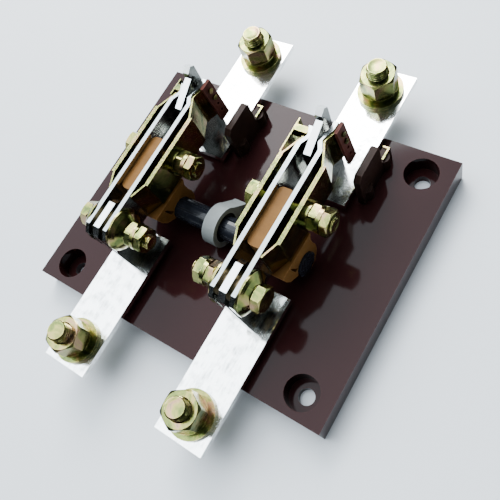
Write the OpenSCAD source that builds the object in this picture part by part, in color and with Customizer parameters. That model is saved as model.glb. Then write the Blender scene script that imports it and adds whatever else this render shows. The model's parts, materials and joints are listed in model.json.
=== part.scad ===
// Two-pole open knife blade switch on a moulded insulating base.
// Frame: origin on the middle of the underside of the base, +X across the poles,
// +Y from the hinge end to the contact end, +Z up. All values are millimetres and degrees.

/* [Base] */
// Length of the base across the poles
base_l = 200; // [190:1:260]
// Width of the base along the blades
base_w = 160; // [150:1:220]
// Thickness of the base
base_t = 16; // [14:0.5:25]
// Distance between mounting holes across the poles
mount_x = 166; // [160:1:172]
// Distance between mounting holes along the blades
mount_y = 133; // [125:1:138]
// Diameter of the mounting holes
mount_d = 9; // [6:0.1:11]
// Diameter of the counterbores
mount_cb_d = 19; // [16:0.5:20]
// Depth of the counterbores
mount_cb_h = 11; // [6:0.5:12]

/* [Poles] */
// Distance between the two poles
pole_pitch = 83; // [80:1:90]
// Width of the terminal bars
bar_w = 30; // [28:1:32]
// Thickness of the terminal bars
bar_t = 3.5; // [3:0.1:4]
// Height of the bars above the base
standoff = 4; // [3:0.5:5]
// Distance of the outer ends of the bars from the middle
bar_reach = 118; // [115:1:130]
// Distance of the terminal bolts from the middle
stud_y = 103; // [100:1:106]

/* [Jaws and blades] */
// Thickness of the fixed jaws
jaw_t = 4; // [3.5:0.1:4.5]
// Width of the fixed jaws along the blades
jaw_w = 23; // [21:0.5:24]
// Height of the blades
blade_h = 22; // [20:0.5:23]
// Thickness of one blade
blade_t = 2.4; // [2:0.1:2.6]
// Distance of each blade from the middle of its pole
blade_x = 6.1; // [5.9:0.05:6.3]
// Distance of the pivot behind the middle of the base
pivot_y = 39.8; // [39.5:0.1:40.5]
// Height of the pivot above the top of the base
pivot_h = 38; // [37.5:0.1:38.5]
// Distance of the clamp bolt in front of the middle of the base
clamp_y = 7.3; // [5:0.1:9]

/* [Cross shaft and link] */
// Diameter of the cross shaft
shaft_d = 13.8; // [13:0.1:14]
// Distance of the cross shaft behind the middle of the base
shaft_y = 9; // [8.5:0.1:9.5]
// Height of the cross shaft above the top of the base
shaft_h = 12.4; // [12.4:0.1:13]
// Width of the link's ring
link_w = 8; // [7:0.5:9]
// Distance of the link's far eye from the shaft
link_l = 17; // [16:0.5:20]

/* [Hidden] */

$fn = 48;
zt = base_t;                      // top of the base
bar_z = zt + standoff;            // underside of the bars
bar_top = bar_z + bar_t;          // top of the bars
pivot_z = zt + pivot_h;
blade_z = pivot_z - blade_h / 2;  // lower edge of the blades
blade_top = pivot_z + blade_h / 2;
shaft_z = zt + shaft_h;
front_in = 28.5;                  // inner end of the front bars
rear_in = 30;                     // inner end of the rear bars
front_jaw_y = -51.3;              // front edge of the hinge jaws and of the blades
rear_jaw_y = 31.3;                // front edge of the contact jaws
blade_in = blade_x - blade_t / 2; // inner face of a blade
blade_out = blade_x + blade_t / 2;
poles = [-pole_pitch / 2, pole_pitch / 2];
cut = 1;                          // how far a cutter runs past its face

// Sizes of the hardware: across flats, nut height, head height, bolt diameter
m12 = [19, 10.8, 7.5, 12];
m8 = [13, 4.6, 5.3, 8];
bore_slack = 0.05;                // tapped bores are this much wider than the thread
m8_hole = 8.1;
sheet_t = 0.9;                    // thickness of a leaf spring sheet
tenon_w = 14;
tenon_gap = 0.1;
screw_x = 8.5;                    // bar screws either side of the middle of a bar
screw_y = [64, 74];
screw_d = 5;
head_d = 9.5;

module zinc() { color("#b8b070") children(); }
module silver() { color("#d9dcdc") children(); }
module phenolic() { color("#c07a2c") children(); }

// Turns the children over to the -X side when s is negative
module side(s) { if (s < 0) mirror([1, 0, 0]) children(); else children(); }
// Puts the children on each pole
module on_poles() { for (x = poles) translate([x, 0, 0]) children(); }
// A profile drawn in Y and Z, swept along X from x0 to x1
module along_x(x0, x1) {
  translate([x0, 0, 0]) rotate([90, 0, 90]) linear_extrude(x1 - x0) children();
}
// A round bar along X
module rod_x(d, x0, x1) { translate([x0, 0, 0]) rotate([0, 90, 0]) cylinder(d = d, h = x1 - x0); }
// A hexagon prism with turned-off corners, along +Z from the origin
module hex(flats, h) {
  intersection() {
    rotate(30) cylinder(d = flats / cos(30), h = h, $fn = 6);
    cylinder(d1 = flats * 1.02, d2 = flats * 1.02 + 2 * h, h = h);
    translate([0, 0, h]) mirror([0, 0, 1]) cylinder(d1 = flats * 1.02, d2 = flats * 1.02 + 2 * h, h = h);
  }
}
module hex_nut(flats, h, d) {
  difference() {
    hex(flats, h);
    translate([0, 0, -cut]) cylinder(d = d + bore_slack, h = h + 2 * cut);
  }
}
module ring(d_out, d_in, h) {
  difference() {
    cylinder(d = d_out, h = h);
    translate([0, 0, -cut]) cylinder(d = d_in, h = h + 2 * cut);
  }
}
// A split spring washer: a flat ring with an oblique gap
module split_ring(d_out, d_in, h) {
  difference() {
    ring(d_out, d_in, h);
    rotate([0, 20, 70]) translate([0, d_in / 2 - cut, -h]) cube([0.8, d_out, 3 * h]);
  }
}

// ---- Base ----
module base_board() {
  color("#3a2424") difference() {
    translate([-base_l / 2, -base_w / 2, 0]) cube([base_l, base_w, base_t]);
    for (x = [-1, 1], y = [-1, 1]) translate([x * mount_x / 2, y * mount_y / 2, 0]) {
      translate([0, 0, -cut]) cylinder(d = mount_d, h = base_t + 2 * cut);
      translate([0, 0, base_t - mount_cb_h]) cylinder(d = mount_cb_d, h = mount_cb_h + cut);
    }
    screw_places() {
      translate([0, 0, -cut]) cylinder(d = screw_d, h = base_t + 2 * cut);
      translate([0, 0, -cut]) cylinder(d = head_d + 0.5, h = screw_head_h + 0.6 + cut);
    }
    barrier_places() {
      translate([0, 0, -cut]) cylinder(d = barrier_screw_d, h = base_t + 2 * cut);
      translate([0, 0, -cut]) cylinder(d = barrier_head_d + 0.5, h = barrier_head_h + 0.6 + cut);
    }
  }
}
screw_head_h = 3.4;
screw_bite = 2.6;                 // depth of the blind tapped holes in the bars
// Two screws under each bar, on opposite sides of its middle
module screw_places() {
  for (x = poles, s = [-1, 1], i = [0, 1])
    translate([x + s * (2 * i - 1) * screw_x, s * screw_y[i], 0]) children();
}
module bar_screws() {
  zinc() screw_places() {
    translate([0, 0, 0.4]) cylinder(d = head_d, h = screw_head_h);
    translate([0, 0, 1]) cylinder(d = screw_d, h = bar_z + screw_bite - 1);
  }
}
module bar_standoffs() {
  color("#2a2220") screw_places() translate([0, 0, zt]) ring(11, screw_d, standoff);
}

// ---- Terminal bars ----
// One bar from its inner end to its outer end; end is -1 for the front and 1 for the rear
module bar(pole, end) {
  inner = end > 0 ? rear_in : front_in;
  jaw_mid = end > 0 ? rear_jaw_y + jaw_w / 2 : -front_jaw_y - jaw_w / 2;
  silver() translate([poles[pole], 0, bar_z]) rotate(end > 0 ? 0 : 180) difference() {
    translate([-bar_w / 2, inner, 0]) cube([bar_w, bar_reach - inner, bar_t]);
    translate([0, stud_y, -cut]) cylinder(d = m12[3] + 1, h = bar_t + 2 * cut);
    translate([-jaw_t / 2 - tenon_gap, jaw_mid - tenon_w / 2 - tenon_gap, -cut])
      cube([jaw_t + 2 * tenon_gap, tenon_w + 2 * tenon_gap, bar_t + 2 * cut]);
    for (i = [0, 1]) translate([(2 * i - 1) * screw_x, screw_y[i], -cut])
      cylinder(d = screw_d + bore_slack, h = screw_bite + cut);
  }
}
module front_bar_1() { bar(0, -1); }
module front_bar_2() { bar(1, -1); }
module rear_bar_1() { bar(0, 1); }
module rear_bar_2() { bar(1, 1); }

// ---- Terminal hardware ----
washer_t = 2.5;
lock_t = 3.2;
stud_h = 30;                      // bolt end above the top of the base
free_d = 11.6;                    // rounded thread crest of the free end above a nut
nut_top = bar_top + washer_t + lock_t + m12[1];
stud_turn = [[14, 7], [2, 16]];      // how each pole's front and rear nut happen to be turned
module stud_places() { for (x = poles, y = [-stud_y, stud_y]) translate([x, y, 0]) children(); }
module terminal_bolts() {
  zinc() stud_places() {
    translate([0, 0, bar_z - m12[2]]) hex(m12[0], m12[2]);
    translate([0, 0, bar_z - 1]) cylinder(d = m12[3], h = nut_top - bar_z + 1);
    translate([0, 0, nut_top - 1]) cylinder(d = free_d, h = zt + stud_h - nut_top);
    translate([0, 0, zt + stud_h - 1]) cylinder(d1 = free_d, d2 = free_d - 2, h = 1);
  }
}
module terminal_washers() {
  zinc() stud_places() translate([0, 0, bar_top]) ring(26, m12[3] + 0.6, washer_t);
}
module terminal_lock_washers() {
  zinc() stud_places() translate([0, 0, bar_top + washer_t]) split_ring(21, m12[3] + 0.4, lock_t);
}
module terminal_nuts() {
  zinc() for (p = [0, 1], e = [0, 1])
    translate([poles[p], (2 * e - 1) * stud_y, bar_top + washer_t + lock_t]) rotate(stud_turn[p][e])
      hex_nut(m12[0], m12[1], m12[3]);
}

// ---- Fixed jaws ----
module jaw_tenon(mid) {
  translate([mid - tenon_w / 2, bar_z]) square([tenon_w, bar_t + cut]);
}
// Hinge jaw: an upright plate with cut top corners, bored for the pivot bolt
module hinge_jaw(pole) {
  back = front_jaw_y + jaw_w;
  top = blade_top - 0.2;
  silver() translate([poles[pole], 0, 0]) difference() {
    along_x(-jaw_t / 2, jaw_t / 2) {
      polygon([[front_jaw_y, bar_top], [back, bar_top], [back, top - 3], [back - 3.2, top],
        [front_jaw_y + 4.4, top], [front_jaw_y, top - 4]]);
      jaw_tenon(front_jaw_y + jaw_w / 2);
    }
    translate([0, -pivot_y, pivot_z]) rod_x(m8_hole, -jaw_t, jaw_t);
  }
}
module hinge_jaw_1() { hinge_jaw(0); }
module hinge_jaw_2() { hinge_jaw(1); }
// Contact jaw: its top edge rises to the rear, with a step before a higher rear corner
module contact_jaw(pole) {
  y = rear_jaw_y;
  silver() translate([poles[pole], 0, 0]) along_x(-jaw_t / 2, jaw_t / 2) {
    polygon([[y, bar_top], [y + jaw_w, bar_top], [y + jaw_w, zt + 58], [y + 20.4, zt + 60],
      [y + 17, zt + 57.8], [y + 17, zt + 53.8], [y + 1, zt + 46.8], [y, zt + 45.5]]);
    jaw_tenon(y + jaw_w / 2);
  }
}
module contact_jaw_1() { contact_jaw(0); }
module contact_jaw_2() { contact_jaw(1); }

// ---- Pivot: bolt, washers and nuts, stacked outward from the blades ----
side_gap = 0.05;                  // clearance of the pivot washers from the turning blades
cup_x = blade_out + side_gap;     // rim of a cup washer
cup_h = [6.3, 4.2];               // depth of the cup washers, each pole is drawn up differently
pivot_lock_t = 2;
pivot_stub = 2.8;                 // bolt end beyond the outer nut
nut_turn = [[-12, -12], [-20, 0]];  // how each pole's inner and outer nut happen to be turned
function cup_end(p) = cup_x + cup_h[p];
function lock_x(p) = cup_end(p) + m8[1];
function nut_x(p) = [cup_end(p), lock_x(p) + pivot_lock_t];
// The two poles are mirror images at the pivot: heads inside out
pivot_side = [1, -1];
module on_pivot(pole) {
  translate([poles[pole], -pivot_y, pivot_z]) side(pivot_side[pole]) children();
}
module pivot_bolt(pole) {
  zinc() on_pivot(pole) {
    rod_x(m8[3], -cup_end(pole) - 1, nut_x(pole)[1] + m8[1] + pivot_stub);
    translate([-cup_end(pole) - m8[2], 0, 0]) rotate([0, 90, 0]) hex(m8[0], m8[2]);
  }
}
module pivot_bolt_1() { pivot_bolt(0); }
module pivot_bolt_2() { pivot_bolt(1); }
// Thin washers between the hinge jaw and the blades
module contact_washers() {
  t = blade_in - jaw_t / 2 - side_gap;
  color("#c9a24b") for (p = [0, 1]) on_pivot(p) for (s = [-1, 1])
    side(s) translate([jaw_t / 2, 0, 0]) rotate([0, 90, 0]) ring(16, m8_hole, t);
}
// Bowl-shaped spring washers with their rims towards the blades
cup_r = 12;
cup_t = 1;
module cup_profile(h) {
  polygon([[cup_r - cup_t, 0], [cup_r, 0], [cup_r - 0.1, cup_t], [cup_r - 2, 0.55 * h],
    [cup_r - 4.6, 0.9 * h], [cup_r - 5.4, h], [m8_hole / 2, h], [m8_hole / 2, h - cup_t], [cup_r - 5.8, h - cup_t],
    [cup_r - 5.4, 0.9 * h - cup_t], [cup_r - 3, 0.5 * h - 0.3]]);
}
module cup_washers() {
  zinc() for (p = [0, 1]) on_pivot(p) for (s = [-1, 1])
    side(s) translate([cup_x, 0, 0]) rotate([0, 90, 0]) rotate_extrude() cup_profile(cup_h[p]);
}
module pivot_nuts() {
  zinc() for (p = [0, 1]) on_pivot(p) for (i = [0, 1])
    translate([nut_x(p)[i], 0, 0]) rotate([0, 90, 0]) rotate(nut_turn[p][i]) hex_nut(m8[0], m8[1], m8[3]);
}
module pivot_lock_washers() {
  zinc() for (p = [0, 1]) on_pivot(p)
    translate([lock_x(p), 0, 0]) rotate([0, 90, 0]) split_ring(14.5, m8_hole, pivot_lock_t);
}

// ---- Barriers beside the rear bars ----
barrier_x = [18.6, 22.6];
barrier_y = [38, 60];
barrier_h = 26;
foot_y = 70;
foot_h = 10;
barrier_screw_d = 4;
barrier_head_d = 7.5;
barrier_head_h = 2.6;
module barrier_places() {
  for (x = poles, y = [44, 64]) translate([x + (barrier_x[0] + barrier_x[1]) / 2, y, 0]) children();
}
module barrier(pole) {
  color("#2b1d1a") translate([poles[pole], 0, 0]) difference() {
    union() {
      along_x(barrier_x[0], barrier_x[1])
        polygon([[barrier_y[0], zt], [foot_y, zt], [foot_y, zt + foot_h], [barrier_y[1], zt + foot_h],
          [barrier_y[1], zt + barrier_h - 1.5], [barrier_y[1] - 1.5, zt + barrier_h],
          [barrier_y[0] + 3, zt + barrier_h], [barrier_y[0], zt + barrier_h - 3]]);
      for (y = [44, 64]) translate([(barrier_x[0] + barrier_x[1]) / 2, y, zt])
        cylinder(d = 8, h = foot_h - 1);
    }
    for (y = [44, 64]) translate([(barrier_x[0] + barrier_x[1]) / 2, y, zt - cut])
      cylinder(d = barrier_screw_d, h = foot_h - 2 + cut);
  }
}
module barrier_1() { barrier(0); }
module barrier_2() { barrier(1); }
// A bent wire lying on each barrier's foot
module barrier_clips() {
  wire = 0.9;
  z = zt + foot_h;
  x0 = barrier_x[0] + 0.3;
  x1 = barrier_x[1] - wire;
  zinc() on_poles() {
    translate([x1, 61.5, z]) cube([wire, 8, wire]);
    translate([x0, 69.5 - wire, z]) cube([x1 - x0 + wire, wire, wire]);
  }
}
module barrier_screws() {
  zinc() barrier_places() {
    translate([0, 0, 0.4]) cylinder(d = barrier_head_d, h = barrier_head_h);
    translate([0, 0, 1]) cylinder(d = barrier_screw_d, h = zt + foot_h - 4);
  }
}

// ---- Moving blades ----
nub_x = (jaw_t + blade_t) / 2 + 0.05;  // middle of a blade where it grips the contact jaw
flare_x = 5.6;
lead_x = 5.8;                       // middle of a blade at its rear end
// Middle line of a right-hand blade: straight, then in to the contact nub and out to the lead-in
blade_path = [[blade_x, front_jaw_y], [blade_x, 36], [nub_x, 41], [nub_x, 42.5],
  [flare_x, 48], [lead_x, 53.4]];
left_blade_rear = 46.8;           // the left blades stop short; the right ones run the whole path
// A strip of the given thickness that follows a path seen from above
module strip(path, t) {
  polygon(concat([for (p = path) [p[0] - t / 2, p[1]]],
    [for (i = [len(path) - 1:-1:0]) [path[i][0] + t / 2, path[i][1]]]));
}
module blade(pole, s) {
  rear = s < 0 ? left_blade_rear : 60;
  silver() translate([poles[pole], 0, 0]) difference() {
    intersection() {
      translate([0, 0, blade_z]) side(s) linear_extrude(blade_h) strip(blade_path, blade_t);
      along_x(-20, 20) polygon([[front_jaw_y, blade_z + 4], [front_jaw_y + 4.4, blade_z],
        [rear, blade_z], [rear, blade_top], [front_jaw_y + 4.4, blade_top], [front_jaw_y, blade_top - 4]]);
    }
    translate([0, -pivot_y, pivot_z]) rod_x(m8_hole, -20, 20);
    translate([0, clamp_y, pivot_z]) rod_x(m8_hole, -20, 20);
  }
}
module left_blade_1() { blade(0, -1); }
module right_blade_1() { blade(0, 1); }
module left_blade_2() { blade(1, -1); }
module right_blade_2() { blade(1, 1); }

// ---- Moulded carrier: tongue between the blades and a saddle over the cross shaft ----
tongue_front = -20.5;
tongue_rear = 13;
tongue_top = zt + 45.5;
saddle_x = 14;
saddle_r = 11.4;
saddle_top = blade_z - 0.1;
// Given as Y and height above the base
module saddle_profile() {
  translate([0, zt]) difference() {
    union() {
      translate([-shaft_y, shaft_h]) circle(r = saddle_r);
      polygon([[2.5, saddle_top - zt], [0.8, 22.5], [1.4, 17], [-shaft_y, shaft_h], [-15.7, 11.6],
        [-18.4, 13.8], [-22.1, 16.7], [-24.1, 21.2], [-25.3, saddle_top - zt]]);
    }
    // Open in front of and under the shaft; the rear limb hooks round below it
    polygon([[-shaft_y, shaft_h], [-15.7, 11.6], [-18.4, 13.8], [-22.1, 16.7], [-32, 16.7],
      [-32, -8], [-7.05, -8], [-7.05, -1.46]]);
    // Slot between the arch over the shaft and the foot in front of it
    polygon([[-13.9, 17.8], [-15.4, 19.6], [-17.6, 24.8], [-18.6, 24.6], [-16.6, 17], [-14.2, 17.2]]);
  }
}
tongue_half = blade_in - 0.1;
module tongue_profile() {
  r = 3.2;
  translate([-tongue_half, tongue_front + r]) square([2 * tongue_half, tongue_rear - tongue_front - 2 * r]);
  translate([-tongue_half + r, tongue_front]) square([2 * (tongue_half - r), tongue_rear - tongue_front]);
  for (x = [-1, 1], y = [tongue_front + r, tongue_rear - r])
    translate([x * (tongue_half - r), y]) circle(r = r);
}
module carrier(pole) {
  phenolic() translate([poles[pole], 0, 0]) difference() {
    union() {
      along_x(-saddle_x, saddle_x) saddle_profile();
      translate([0, 0, saddle_top - 1]) linear_extrude(tongue_top - saddle_top + 1)
        tongue_profile();
    }
    translate([0, -shaft_y, shaft_z]) rod_x(shaft_d + 0.1, -saddle_x - cut, saddle_x + cut);
    translate([0, clamp_y, pivot_z]) rod_x(m8_hole, -20, 20);
    pin_hole();
  }
}
module blade_carrier_1() { carrier(0); }
module blade_carrier_2() { carrier(1); }

// ---- Leaf springs: bowed sheets that press the blades together ----
leaf_end = blade_out + sheet_t / 2;
leaf_mid = 11.4;
outer_mid = leaf_mid + sheet_t + 0.25;
leaf_h = blade_h - 1;
module leaf_hole() { translate([0, clamp_y, pivot_z]) rod_x(m8_hole + 0.4, -20, 20); }
module inner_leaf_springs() {
  path = [[leaf_end + 0.02, -24.5], [leaf_mid, -15.5], [leaf_mid, 28.7], [5.9, 40.3]];
  zinc() on_poles() difference() {
    for (s = [-1, 1]) translate([0, 0, pivot_z - leaf_h / 2]) side(s)
      linear_extrude(leaf_h) strip(path, sheet_t);
    leaf_hole();
  }
}
module outer_leaf_springs() {
  zinc() on_poles() difference() {
    for (s = [-1, 1]) translate([0, 0, pivot_z - leaf_h / 2]) side(s)
      linear_extrude(leaf_h) strip([[outer_mid, -15.5], [outer_mid, 29]], sheet_t);
    leaf_hole();
  }
}

// ---- Clamp bolt through springs, blades and carrier ----
clamp_face = outer_mid + sheet_t / 2;
clamp_washer_t = 2.4;
clamp_lock_t = 2;
clamp_nuts_x = [clamp_face + clamp_washer_t, clamp_face + clamp_washer_t + m8[1] + clamp_lock_t];
clamp_end = clamp_nuts_x[1] + m8[1] + 1.4;
module on_clamp() { on_poles() translate([0, clamp_y, pivot_z]) children(); }
module clamp_bolts() {
  zinc() on_clamp() {
    rod_x(m8[3], -clamp_face - clamp_washer_t - 1, clamp_end);
    translate([-clamp_face - clamp_washer_t - m8[2], 0, 0]) rotate([0, 90, 0]) hex(m8[0], m8[2]);
  }
}
module clamp_washers() {
  zinc() on_clamp() {
    for (x = [-clamp_face - clamp_washer_t, clamp_face])
      translate([x, 0, 0]) rotate([0, 90, 0]) ring(15, m8_hole, clamp_washer_t);
    translate([clamp_nuts_x[0] + m8[1], 0, 0]) rotate([0, 90, 0]) split_ring(14.5, m8_hole, clamp_lock_t);
  }
}
module clamp_nuts() {
  zinc() on_clamp() for (x = clamp_nuts_x)
    translate([x, 0, 0]) rotate([0, 90, 0]) hex_nut(m8[0], m8[1], m8[3]);
}

// ---- Blade tips ----
tip_t = 1.2;
module tip_plates() {
  off = (blade_t + tip_t) / 2 + 0.02;
  path = [[nub_x + off, 41], [nub_x + off, 42.5], [flare_x + off, 48], [lead_x + off, 53]];
  zinc() on_poles() {
    translate([0, 0, blade_z - 2]) linear_extrude(blade_h + 1) strip(path, tip_t);
  }
}
// Plates beside the left tips: distance from the pole's middle and front end, for each pole
side_plates = [[9, 38.7], [13.2, 29.2]];
side_plate_t = 0.6;
side_plate_rear = 49.5;
spacer_flats = 6;
spacer_y = 44;
module side_plate(pole) {
  x = side_plates[pole][0];
  zinc() translate([poles[pole], 0, 0]) {
    translate([-x - side_plate_t / 2, side_plates[pole][1], blade_z + 1])
      cube([side_plate_t, side_plate_rear - side_plates[pole][1], blade_h - 1.5]);
    // Hexagon spacer cut to lie on the slanting blade
    difference() {
      translate([-x, spacer_y, blade_top - 3.2]) rotate([0, 90, 0]) hex(spacer_flats, x - nub_x - 1.6);
      translate([0, 0, blade_z]) side(-1) linear_extrude(blade_h + 2) strip(blade_path, blade_t + 0.04);
    }
  }
}
module side_plate_1() { side_plate(0); }
module side_plate_2() { side_plate(1); }
strip_t = 1.8;
strip_tilt = 6;
strip_y = [46, 53.2];
strip_len = 27;
module strip_place() {
  translate([lead_x + blade_t / 2 + tip_t + 0.2, 0, blade_top + 1.5]) rotate([0, -strip_tilt, 0]) children();
}
module arc_strips() {
  color("#7d3520") on_poles() strip_place() difference() {
    translate([0, strip_y[0], -strip_len]) cube([strip_t, strip_y[1] - strip_y[0], strip_len]);
    for (z = [-16, -21]) translate([0, (strip_y[0] + strip_y[1]) / 2, z]) rod_x(2, -cut, strip_t + cut);
  }
}
module arc_rivets() {
  zinc() on_poles() strip_place() for (z = [-5, -10.5])
    translate([0, (strip_y[0] + strip_y[1]) / 2, z]) rod_x(3, strip_t, strip_t + 1);
}

// ---- Cross shaft and drive link ----
shaft_ends = [-pole_pitch / 2 - 15, pole_pitch / 2 + 15.5];
module cross_shaft() {
  groove = 1.1;
  color("#15161a") difference() {
    translate([0, -shaft_y, shaft_z]) {
      along_x(shaft_ends[0], shaft_ends[1]) difference() {
        circle(d = shaft_d);
        for (a = [0:45:315]) rotate(a + 20) translate([shaft_d / 2 - 0.8, -groove / 2]) square([2, groove]);
      }
      // Plain journal inside the link
      rod_x(shaft_d, link_x - 0.5, link_x + link_w + 0.5);
    }
    on_poles() pin_hole();
  }
}
// Pins that fix the shaft in the saddles
pin_d = 3;
pin_x = 10.4;
pin_low = -4;
pin_high = 9;
module pin_hole() {
  translate([pin_x, -shaft_y, shaft_z + pin_low]) cylinder(d = pin_d, h = pin_high - pin_low);
}
module shaft_pins() {
  zinc() on_poles() pin_hole();
}
bush_d = 17.6;
bush_bore = shaft_d + 0.1;
link_x = -3.5;                    // left face of the link
link_r = 11.9;
eye_r = 4.5;
eye_bore = 5;
link_drop = 7.4;                  // how far the far eye lies below the shaft
link_angle = -asin(link_drop / link_l);
module on_link() { translate([link_x, -shaft_y, shaft_z]) rotate([link_angle, 0, 0]) children(); }
module link_bush() {
  color("#101114") on_link() translate([0.8, 0, 0]) rotate([0, 90, 0]) ring(bush_d, bush_bore, link_w - 1.6);
}
module drive_link() {
  a = acos((link_r - eye_r) / link_l);
  color("#a9adae") on_link() difference() {
    union() {
      rod_x(2 * link_r, 0, link_w);
      translate([0, link_l, 0]) rod_x(2 * eye_r, 0, link_w);
      // The arm's corners stay inside the two rings, so that its edges cross them cleanly
      along_x(0, link_w) polygon([for (p = [[0, link_r, a], [link_l, eye_r, a], [link_l, eye_r, -a],
        [0, link_r, -a]]) [p[0] + (p[1] - 0.3) * cos(p[2]), (p[1] - 0.3) * sin(p[2])]]);
    }
    rod_x(bush_d, -cut, link_w + cut);
    translate([0, link_l, 0]) rod_x(eye_bore, -cut, link_w + cut);
  }
}

base_board();
bar_standoffs();
bar_screws();
front_bar_1();
front_bar_2();
rear_bar_1();
rear_bar_2();
terminal_bolts();
terminal_washers();
terminal_lock_washers();
terminal_nuts();
hinge_jaw_1();
hinge_jaw_2();
contact_jaw_1();
contact_jaw_2();
pivot_bolt_1();
pivot_bolt_2();
contact_washers();
cup_washers();
pivot_nuts();
pivot_lock_washers();
barrier_1();
barrier_2();
barrier_clips();
barrier_screws();
left_blade_1();
right_blade_1();
left_blade_2();
right_blade_2();
blade_carrier_1();
blade_carrier_2();
inner_leaf_springs();
outer_leaf_springs();
clamp_bolts();
clamp_washers();
clamp_nuts();
tip_plates();
side_plate_1();
side_plate_2();
arc_strips();
arc_rivets();
cross_shaft();
shaft_pins();
link_bush();
drive_link();
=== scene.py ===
"""Looks of the two-pole knife blade switch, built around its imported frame. Metres, row frame."""
import json
import math
import bmesh
import bpy
from mathutils import Euler, Matrix, Vector


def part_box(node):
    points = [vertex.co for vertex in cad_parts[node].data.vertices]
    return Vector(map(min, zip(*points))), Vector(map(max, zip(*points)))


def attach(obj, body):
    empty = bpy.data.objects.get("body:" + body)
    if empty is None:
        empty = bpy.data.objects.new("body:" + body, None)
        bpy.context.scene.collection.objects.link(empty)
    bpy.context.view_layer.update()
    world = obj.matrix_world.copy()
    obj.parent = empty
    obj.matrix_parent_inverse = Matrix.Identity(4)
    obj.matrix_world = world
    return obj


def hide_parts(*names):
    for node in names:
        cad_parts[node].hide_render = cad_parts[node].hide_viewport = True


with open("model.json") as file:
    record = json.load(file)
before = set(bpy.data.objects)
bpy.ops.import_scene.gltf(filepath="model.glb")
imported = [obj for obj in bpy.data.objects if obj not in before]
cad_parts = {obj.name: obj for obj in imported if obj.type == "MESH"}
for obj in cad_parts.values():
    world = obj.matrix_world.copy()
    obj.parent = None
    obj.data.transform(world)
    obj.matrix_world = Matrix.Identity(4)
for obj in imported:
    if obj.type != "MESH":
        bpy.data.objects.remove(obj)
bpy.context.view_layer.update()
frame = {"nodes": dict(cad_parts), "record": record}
NODES = frame["nodes"]
MM = 0.001
BOARD_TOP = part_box("base_board")[1].z
POLES = [sum(corner.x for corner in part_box("hinge_jaw_%d" % i)) / 2 for i in (1, 2)]


# ---------------------------------------------------------------- materials
class Nodes:
    """A short way to write a node material."""

    def __init__(self, name):
        self.mat = bpy.data.materials.new(name)
        self.mat.use_nodes = True
        self.tree = self.mat.node_tree
        self.tree.nodes.clear()
        self.out = self.new("ShaderNodeOutputMaterial")
        self.bsdf = self.new("ShaderNodeBsdfPrincipled")
        self.link(self.bsdf.outputs[0], self.out.inputs[0])
        self.coord = self.new("ShaderNodeTexCoord").outputs["Object"]

    def new(self, kind, **values):
        n = self.tree.nodes.new(kind)
        for k, v in values.items():
            setattr(n, k, v)
        return n

    def link(self, a, b):
        self.tree.links.new(a, b)

    def set(self, **values):
        for k, v in values.items():
            self.bsdf.inputs[k.replace("_", " ")].default_value = v

    def scaled(self, x, y, z):
        m = self.new("ShaderNodeMapping")
        m.inputs["Scale"].default_value = (x, y, z)
        self.link(self.coord, m.inputs["Vector"])
        return m.outputs[0]

    def parts(self, output):
        """The three numbers of a texture coordinate."""
        split = self.new("ShaderNodeSeparateXYZ")
        self.link(self.new("ShaderNodeTexCoord").outputs[output], split.inputs[0])
        return split.outputs

    def noise(self, scale, detail=4.0, rough=0.55, at=None, distort=0.0):
        n = self.new("ShaderNodeTexNoise")
        n.inputs["Scale"].default_value = scale
        n.inputs["Detail"].default_value = detail
        n.inputs["Roughness"].default_value = rough
        n.inputs["Distortion"].default_value = distort
        self.link(at or self.coord, n.inputs["Vector"])
        return n.outputs["Fac"]

    def spangle(self, scale):
        """Soft-edged cells, as on hot-tinned plate."""
        n = self.new("ShaderNodeTexVoronoi", feature="SMOOTH_F1")
        n.inputs["Scale"].default_value = scale
        self.link(self.coord, n.inputs["Vector"])
        return n.outputs["Distance"]

    def ramp(self, fac, stops):
        r = self.new("ShaderNodeValToRGB")
        e = r.color_ramp.elements
        while len(e) < len(stops):
            e.new(0.5)
        for el, (p, c) in zip(e, stops):
            el.position = p
            el.color = (*c, 1) if len(c) == 3 else c
        self.link(fac, r.inputs[0])
        return r.outputs[0]

    def range(self, fac, low, high, a=0.0, b=1.0):
        r = self.new("ShaderNodeMapRange")
        for i, v in zip((1, 2, 3, 4), (a, b, low, high)):
            r.inputs[i].default_value = v
        self.link(fac, r.inputs[0])
        return r.outputs[0]

    def math(self, op, a, b=None):
        m = self.new("ShaderNodeMath", operation=op)
        for s, v in zip(m.inputs, (a, b)):
            if v is None:
                continue
            if isinstance(v, (int, float)):
                s.default_value = v
            else:
                self.link(v, s)
        return m.outputs[0]

    def mix(self, fac, a, b, how="MIX"):
        m = self.new("ShaderNodeMix", data_type="RGBA", blend_type=how)
        for s, v in zip((m.inputs[0], m.inputs[6], m.inputs[7]), (fac, a, b)):
            if isinstance(v, tuple):
                s.default_value = (*v, 1)
            elif isinstance(v, (int, float)):
                s.default_value = v
            else:
                self.link(v, s)
        return m.outputs[2]

    def edge_wear_and_highlight(self, width=0.5, low=0.01, high=0.10):
        """White within a width in millimetres of an edge, broken up by noise: partly wear, partly a painted
        highlight.
        """
        bevel = self.new("ShaderNodeBevel", samples=4)
        bevel.inputs["Radius"].default_value = width * MM
        turn = self.new("ShaderNodeVectorMath", operation="DOT_PRODUCT")
        self.link(bevel.outputs[0], turn.inputs[0])
        self.link(self.new("ShaderNodeNewGeometry").outputs["Normal"], turn.inputs[1])
        edge = self.range(self.math("SUBTRACT", 1.0, turn.outputs["Value"]), 0, 1, low, high)
        return self.math("MULTIPLY", edge, self.range(self.noise(900), 0, 1, 0.35, 0.6))

    def bump(self, height, strength, distance):
        b = self.new("ShaderNodeBump")
        b.inputs["Strength"].default_value = strength
        b.inputs["Distance"].default_value = distance
        self.link(height, b.inputs["Height"])
        self.link(b.outputs[0], self.bsdf.inputs["Normal"])

    def colour(self, c):
        self.link(c, self.bsdf.inputs["Base Color"])

    def roughness(self, r):
        self.link(r, self.bsdf.inputs["Roughness"])


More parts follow.
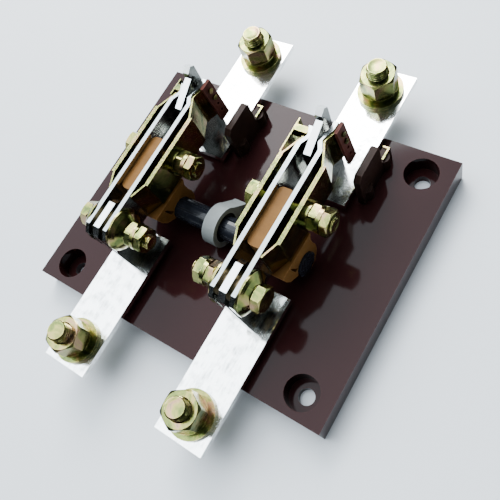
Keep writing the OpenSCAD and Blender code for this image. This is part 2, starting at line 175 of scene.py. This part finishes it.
def board_material():
    m = Nodes("board_phenolic")
    tone = m.ramp(m.noise(14, 2), [(0.3, (0.019, 0.0056, 0.006)), (0.7, (0.023, 0.0070, 0.0075))])
    specks = m.range(m.noise(2200, 2), 0.0, 0.10, 0.70, 0.78)
    # Paler edges: partly wear, partly a painted highlight.
    wear_and_highlight = m.mix(m.edge_wear_and_highlight(), tone, (0.06, 0.022, 0.02))
    m.colour(m.mix(specks, wear_and_highlight, (0.12, 0.09, 0.085)))
    m.roughness(m.range(m.noise(40, 2), 0.07, 0.095, 0.3, 0.7))
    m.set(Specular_IOR_Level=0.08)
    m.bump(m.noise(30, 1), 0.03, 0.0004)
    return m.mat


def tin_material(name, low, high, streak, dark, light, edge=None, highlight_height=0):
    """Tin plate: mottled reflections, fine scratches along the part, dull spots.

    With an edge colour, the sheared edges that face up above the given height show it as a painted
    highlight, and the other faces keep the darker face colours.
    """
    m = Nodes(name)
    spangle = m.spangle(520)
    grain = m.math("ADD", m.math("MULTIPLY", m.noise(900, 6, 0.8, m.scaled(*streak)), 0.5),
                   m.math("MULTIPLY", m.noise(160, 6), 0.5))
    face = m.ramp(grain, [(0.36, dark), (0.52, light)])
    if edge is None:
        m.colour(face)
    else:
        # Painted highlight: the edge colour goes on faces that point up and stand above the given height.
        normal, place = m.parts("Normal"), m.parts("Object")
        upward = m.range(normal[2], 0, 1, 0.6, 0.8)
        tall = m.range(place[2], 0, 1, highlight_height, highlight_height + 2 * MM)
        m.colour(m.mix(m.math("MULTIPLY", upward, tall), face, edge))
    scratch = m.noise(60, 3, 0.7, m.scaled(*streak))
    both = m.math("ADD", m.math("MULTIPLY", scratch, 0.6), m.math("MULTIPLY", m.noise(420, 4), 0.4))
    m.roughness(m.range(both, low, high, 0.3, 0.7))
    m.set(Metallic=1.0)
    m.bump(m.math("ADD", spangle, m.math("MULTIPLY", scratch, 0.25)), 0.22, 0.00012)
    return m.mat


def zinc_material(name, low, high):
    """Yellow passivated zinc: olive and gold with peach patches, paler on edges, partly from wear and partly
    as a painted highlight.
    """
    m = Nodes(name)
    wide = m.noise(75, 3, 0.6, distort=1.2)
    tone = m.ramp(wide, [(0.30, (0.055, 0.075, 0.030)), (0.43, (0.12, 0.145, 0.040)),
                         (0.54, (0.23, 0.21, 0.065)), (0.63, (0.30, 0.18, 0.105)),
                         (0.74, (0.11, 0.12, 0.080))])
    fine = m.mix(m.range(m.noise(900, 4), 0.0, 0.22, 0.5, 0.75), tone, (0.30, 0.30, 0.10))
    # Pale edges: partly wear, partly a painted highlight.
    m.colour(m.mix(m.edge_wear_and_highlight(0.4), fine, (0.66, 0.54, 0.26)))
    m.roughness(m.range(m.noise(420, 5), low, high, 0.3, 0.7))
    m.set(Metallic=1.0)
    m.bump(m.noise(1500, 3), 0.08, 0.00005)
    return m.mat


def moulded_material(name, dark, light, rough, grain, coat=0.0, metallic=0.0):
    """Plain body with a fine grain and paler edges, partly wear and partly a painted highlight; with
    metallic=1 it is bare bronze.
    """
    m = Nodes(name)
    body = m.ramp(m.noise(grain, 6, 0.65), [(0.3, dark), (0.7, light)])
    pale = tuple(min(1, c * 1.8 + 0.02) for c in light)
    # Pale edges: partly wear, partly a painted highlight.
    m.colour(m.mix(m.edge_wear_and_highlight(), body, pale))
    m.roughness(m.range(m.noise(grain * 4, 5), rough[0], rough[1], 0.3, 0.7))
    m.set(Coat_Weight=coat, Coat_Roughness=0.12, Specular_IOR_Level=0.06, Metallic=metallic)
    m.bump(m.noise(grain * 8, 4), 0.15, 0.0001)
    return m.mat


MAT = {
    "moulded_base": board_material(),
    "plated_bar": tin_material("tin_bar", 0.07, 0.20, (1.0, 0.15, 1.0),
                               (0.38, 0.40, 0.40), (0.95, 0.96, 0.95)),
    # Jaw faces: their dark colour is painted shade standing in for the dark surroundings they mirror; their
    # top edges get a pale painted highlight.
    "plated_jaw": tin_material("tin_jaw", 0.09, 0.22, (1.0, 1.0, 0.2),
                               (0.07, 0.08, 0.075), (0.17, 0.18, 0.17),
                               edge=(0.75, 0.77, 0.76), highlight_height=BOARD_TOP + 14 * MM),
    # Blade top edges get a painted highlight.
    "plated_blade": tin_material("tin_blade", 0.10, 0.24, (1.0, 0.1, 1.0),
                                 (0.18, 0.20, 0.19), (0.38, 0.39, 0.36),
                                 edge=(0.33, 0.36, 0.36), highlight_height=BOARD_TOP + 44 * MM),
    "bolt_zinc": zinc_material("zinc_bolt", 0.13, 0.27),
    "spring_zinc": zinc_material("zinc_sheet", 0.12, 0.24),
    "washer_bronze": moulded_material("bronze", (0.30, 0.22, 0.12), (0.42, 0.31, 0.17), (0.25, 0.4), 200,
                                      metallic=1.0),
    "carrier_phenolic": moulded_material("orange_phenolic", (0.14, 0.066, 0.018), (0.20, 0.094, 0.026),
                                         (0.30, 0.48), 110),
    "barrier_phenolic": moulded_material("brown_phenolic", (0.017, 0.009, 0.007), (0.030, 0.015, 0.011),
                                         (0.30, 0.45), 90),
    "strip_phenolic": moulded_material("red_laminate", (0.055, 0.015, 0.011), (0.095, 0.027, 0.019),
                                       (0.35, 0.5), 240),
    "fibre_spacer": moulded_material("fibre", (0.03, 0.02, 0.017), (0.05, 0.034, 0.03), (0.5, 0.7), 200),
    "shaft_black": moulded_material("black_sleeve", (0.006, 0.007, 0.010), (0.014, 0.016, 0.022),
                                    (0.16, 0.30), 120, coat=0.3),
    "bush_black": moulded_material("black_bush", (0.008, 0.008, 0.009), (0.016, 0.016, 0.018),
                                   (0.35, 0.5), 150),
    "link_nylon": moulded_material("grey_nylon", (0.165, 0.18, 0.18), (0.23, 0.25, 0.25),
                                   (0.42, 0.58), 90),
}

# ---------------------------------------------------------------- carried-over solids
# Width of the rounded edges in millimetres: moulded parts are softer than cut metal
CUT_EDGE = 0.22
SOFT_EDGE = {"base_board": 0.9, "drive_link": 0.9, "blade_carrier_1": 0.5, "blade_carrier_2": 0.5}
slot_of = {s["node"]: s["material_slot"] for s in frame["record"]["subparts"]}
for name, obj in NODES.items():
    obj.data.materials.clear()
    obj.data.materials.append(MAT[slot_of[name]])
    flat = obj.modifiers.new("flat", "DECIMATE")
    flat.decimate_type = "DISSOLVE"
    flat.angle_limit = math.radians(1)
    bev = obj.modifiers.new("edge", "BEVEL")
    bev.width = SOFT_EDGE.get(name, CUT_EDGE) * MM
    bev.segments = 2
    bev.limit_method = "ANGLE"
    bev.angle_limit = math.radians(32)
    bev.harden_normals = True
    for p in obj.data.polygons:
        p.use_smooth = True

# ---------------------------------------------------------------- threaded hardware
# Sizes in millimetres, the same as the solids these pieces stand for.
# AXIS_X turns a piece built along +Z to point along +X or -X.
AXIS_X = {1: Matrix(((0, 0, 1, 0), (0, 1, 0, 0), (-1, 0, 0, 0), (0, 0, 0, 1))),
          -1: Matrix(((0, 0, -1, 0), (0, 1, 0, 0), (1, 0, 0, 0), (0, 0, 0, 1)))}
AROUND = 72                       # points round every turned shape


def circle(r, z, n=AROUND):
    return [(r * math.cos(math.tau * i / n), r * math.sin(math.tau * i / n), z) for i in range(n)]


class Shape:
    """Skins rings of points, given in millimetres, into one mesh."""

    def __init__(self):
        self.bm = bmesh.new()

    def skin(self, rings, place, loop=False):
        rows = [[self.bm.verts.new(place @ Vector(p) * MM) for p in ring] for ring in rings]
        for a, b in list(zip(rows, rows[1:])) + ([(rows[-1], rows[0])] if loop else []):
            for i in range(len(a)):
                j = (i + 1) % len(a)
                self.bm.faces.new((a[i], a[j], b[j], b[i]))
        if not loop:
            self.bm.faces.new(rows[0][::-1])
            self.bm.faces.new(rows[-1])

    def hexagon(self, flats, h, place, bore=0.0, corner=30.0):
        """A nut, or a bolt head when bore is 0, with turned chamfers at both ends."""
        seat = flats / 2 * 0.97
        ring = []
        for x, y, _ in circle(1, 0):
            a = (math.degrees(math.atan2(y, x)) - corner) % 60 - 30
            r = min(flats / 2 / math.cos(math.radians(a)), flats / 2 / math.cos(math.radians(30)) - 0.12)
            ring.append((x, y, r, (r - seat) * 0.6))
        low = [(x * r, y * r, c) for x, y, r, c in ring]
        high = [(x * r, y * r, h - c) for x, y, r, c in ring]
        rings = [circle(seat, 0), low, high, circle(seat, h)]
        if bore:
            rings += [circle(bore + 0.5, h), circle(bore, h - 0.5), circle(bore, 0.5), circle(bore + 0.5, 0)]
        self.skin(rings, place, loop=bool(bore))

    def bolt(self, r, z0, z1, thread_from, pitch, place, rings_per_turn=8):
        """A shank from z0 to z1 with a right-hand thread from thread_from to a chamfered end."""
        depth = 0.5 * pitch
        chamfer = 0.75 * depth
        rings = [circle(r, z0), circle(r, thread_from)]
        steps = math.ceil((z1 - thread_from) / pitch * rings_per_turn)
        for k in range(1, steps + 1):
            z = thread_from + (z1 - thread_from) * k / steps
            ring = []
            for i, (x, y, _) in enumerate(circle(1, z)):
                t = abs(2 * ((z / pitch - i / AROUND) % 1) - 1)
                t = min(1, max(0, (t - 0.2) / 0.6))
                rr = min(r - depth * (1 - t * t * (3 - 2 * t)), r - chamfer + (z1 - z))
                ring.append((x * rr, y * rr, z))
            rings.append(ring)
        rings += [circle(r - depth - 0.5, z1), circle(r - depth - 0.9, z1 - 0.12)]
        self.skin(rings, place)

    def finish(self, name, body, slot, node):
        mesh = bpy.data.meshes.new(name)
        bmesh.ops.recalc_face_normals(self.bm, faces=self.bm.faces[:])
        self.bm.to_mesh(mesh)
        self.bm.free()
        for p in mesh.polygons:
            p.use_smooth = True
        mesh.set_sharp_from_angle(angle=math.radians(28))
        mesh.materials.append(MAT[slot])
        piece = bpy.data.objects.new(name, mesh)
        bpy.context.scene.collection.objects.link(piece)
        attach(piece, body)
        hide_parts(node)


def span(node, axis):
    """Lowest and highest place of a CAD node along an axis, in millimetres."""
    low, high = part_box(node)
    return low[axis] / MM, high[axis] / MM


def at(x, y, z):
    return Matrix.Translation((x, y, z))


POLE_X = [x / MM for x in POLES]
STUD_Y = 103.0
# How each nut's corners happen to lie, by pole and by end
STUD_TURN = {(0, -1): 44, (0, 1): 37, (1, -1): 32, (1, 1): 46}
HEAD_LAP = 1.0                    # a shank starts this far inside its head
PLAIN_SHANK = 1.0                 # between an M12 head and the start of its thread
M12 = {"flats": 19.0, "head": 7.5, "free_r": 5.8, "pitch": 1.75}
M8 = {"flats": 13.0, "head": 5.3, "nut": 4.6, "r": 4.0, "pitch": 1.25}

bolts, nuts = Shape(), Shape()
bolt_low, bolt_high = span("terminal_bolts", 2)
nut_low, nut_high = span("terminal_nuts", 2)
for (pole, end), turn in STUD_TURN.items():
    seat = at(POLE_X[pole], end * STUD_Y, 0)
    bolts.hexagon(M12["flats"], M12["head"], seat @ at(0, 0, bolt_low))
    head_top = bolt_low + M12["head"]
    bolts.bolt(M12["free_r"], head_top - HEAD_LAP, bolt_high, head_top + PLAIN_SHANK,
               M12["pitch"], seat)
    nuts.hexagon(M12["flats"], nut_high - nut_low, seat @ at(0, 0, nut_low), M12["free_r"] + 0.1, turn)
bolts.finish("terminal_bolts_cut", "base", "bolt_zinc", "terminal_bolts")
nuts.finish("terminal_nuts_cut", "base", "bolt_zinc", "terminal_nuts")

# Pivot hardware: the second pole is a mirror image of the first
PIVOT_Y = -39.8
PIVOT_Z = BOARD_TOP / MM + 38
PIVOT_SIDE = (1, -1)
PIVOT_TURN = ((18, 18), (10, 30))
PIVOT_STUB = 2.8                  # bolt end past its outer nut
PIVOT_THREAD = 4.0                # only the last part of a bolt shows its thread
LOCK_WASHER = 2.0                 # between the two nuts, here and on the clamp bolts
NUT_BORE = M8["r"] + 0.05
nuts = Shape()
for pole in (0, 1):
    s = PIVOT_SIDE[pole]
    node = "pivot_bolt_%d" % (pole + 1)
    low, high = sorted(s * (x - POLE_X[pole]) for x in span(node, 0))
    place = at(POLE_X[pole], PIVOT_Y, PIVOT_Z) @ AXIS_X[s]
    bolt = Shape()
    bolt.hexagon(M8["flats"], M8["head"], place @ at(0, 0, low))
    bolt.bolt(M8["r"], low + M8["head"] - HEAD_LAP, high, high - PIVOT_THREAD, M8["pitch"],
              place)
    bolt.finish(node + "_cut", "base", "bolt_zinc", node)
    outer = high - PIVOT_STUB - M8["nut"]
    for z, turn in zip((outer - LOCK_WASHER - M8["nut"], outer), PIVOT_TURN[pole]):
        nuts.hexagon(M8["flats"], M8["nut"], place @ at(0, 0, z), NUT_BORE, turn)
nuts.finish("pivot_nuts_cut", "base", "bolt_zinc", "pivot_nuts")

# Clamp hardware: the same on both poles, bolt ends towards +X
CLAMP_Y = 7.3
CLAMP_TURN = ((8, 37), (25, 48))
CLAMP_STUB = 1.4
CLAMP_THREAD = 3.0
bolts, nuts = Shape(), Shape()
low = span("clamp_bolts", 0)[0] - POLE_X[0]
high = span("clamp_bolts", 0)[1] - POLE_X[1]
for pole in (0, 1):
    place = at(POLE_X[pole], CLAMP_Y, PIVOT_Z) @ AXIS_X[1]
    bolts.hexagon(M8["flats"], M8["head"], place @ at(0, 0, low))
    bolts.bolt(M8["r"], low + M8["head"] - HEAD_LAP, high, high - CLAMP_THREAD, M8["pitch"],
               place)
    outer = high - CLAMP_STUB - M8["nut"]
    for z, turn in zip((outer - LOCK_WASHER - M8["nut"], outer), CLAMP_TURN[pole]):
        nuts.hexagon(M8["flats"], M8["nut"], place @ at(0, 0, z), NUT_BORE, turn)
bolts.finish("clamp_bolts_cut", "blades", "bolt_zinc", "clamp_bolts")
nuts.finish("clamp_nuts_cut", "blades", "bolt_zinc", "clamp_nuts")


# ---------------------------------------------------------------- stage
def stage_floor():
    mesh = bpy.data.meshes.new("floor")
    bm = bmesh.new()
    bmesh.ops.create_grid(bm, x_segments=8, y_segments=8, size=6)
    bm.to_mesh(mesh)
    bm.free()
    floor = bpy.data.objects.new("floor", mesh)
    bpy.context.scene.collection.objects.link(floor)
    m = Nodes("floor_paper")
    m.colour(m.ramp(m.noise(3, 3), [(0.3, (0.70, 0.735, 0.77)), (0.7, (0.73, 0.765, 0.80))]))
    m.roughness(m.range(m.noise(200, 3), 0.55, 0.65))
    mesh.materials.append(m.mat)


def area_light(name, place, aim, size, watts):
    data = bpy.data.lights.new(name, "AREA")
    data.shape = "RECTANGLE"
    data.size, data.size_y = size
    data.energy = watts
    light = bpy.data.objects.new(name, data)
    light.location = place
    light.rotation_euler = (Vector(aim) - Vector(place)).to_track_quat("-Z", "Y").to_euler()
    bpy.context.scene.collection.objects.link(light)


def studio_world():
    """A dim room with a large soft source high on the far left, which the plated faces mirror."""
    world = bpy.data.worlds.new("studio")
    world.use_nodes = True
    tree = world.node_tree
    back = tree.nodes["Background"]
    new, link = tree.nodes.new, tree.links.new
    way = new("ShaderNodeTexCoord").outputs["Generated"]

    def ramp(value, low, high, stops):
        place = new("ShaderNodeMapRange")
        for k, v in zip((1, 2), (low, high)):
            place.inputs[k].default_value = v
        link(value, place.inputs[0])
        out = new("ShaderNodeValToRGB")
        while len(out.color_ramp.elements) < len(stops):
            out.color_ramp.elements.new(0.5)
        for el, (pos, level) in zip(out.color_ramp.elements, stops):
            el.position = pos
            el.color = (level * 0.93, level * 0.97, level, 1)
        link(place.outputs[0], out.inputs[0])
        return out.outputs[0]

    def towards(direction):
        dot = new("ShaderNodeVectorMath")
        dot.operation = "DOT_PRODUCT"
        dot.inputs[1].default_value = Vector(direction).normalized()
        link(way, dot.inputs[0])
        return dot.outputs["Value"]

    soft = ramp(towards(SOFT_BOX), -0.2, 1.0, WORLD_SOFT)
    up = ramp(towards((0, 0, 1)), -0.1, 1.0, WORLD_UP)
    mul = new("ShaderNodeMix")
    mul.data_type, mul.blend_type = "RGBA", "MULTIPLY"
    mul.inputs[0].default_value = 1
    link(soft, mul.inputs[6])
    link(up, mul.inputs[7])
    link(mul.outputs[2], back.inputs[0])
    back.inputs[1].default_value = WORLD_STRENGTH
    bpy.context.scene.world = world


# Where the large soft source stands, and its brightness by angle from it and by height
SOFT_BOX = (-0.55, 0.15, 0.82)
WORLD_SOFT = [(0.0, 0.018), (0.55, 0.034), (0.72, 0.09), (0.83, 0.45), (0.92, 1.0)]
WORLD_UP = [(0.0, 0.10), (0.35, 0.12), (0.55, 0.7), (0.72, 1.0)]
WORLD_STRENGTH = 8.0

stage_floor()
area_light("key", (-0.42, 0.58, 0.72), (0, 0, 0.02), (0.5, 0.4), 13)
studio_world()

cam = bpy.data.cameras.new("camera")
cam.lens = 42.70
cam.sensor_width = 36
cam.clip_start = 0.01
camera = bpy.data.objects.new("camera", cam)
camera.location = (0.16540, -0.08145, 0.30554)
camera.rotation_euler = Euler((0.42409, 0.29820, 0.55350), "XYZ")
bpy.context.scene.collection.objects.link(camera)
bpy.context.scene.camera = camera
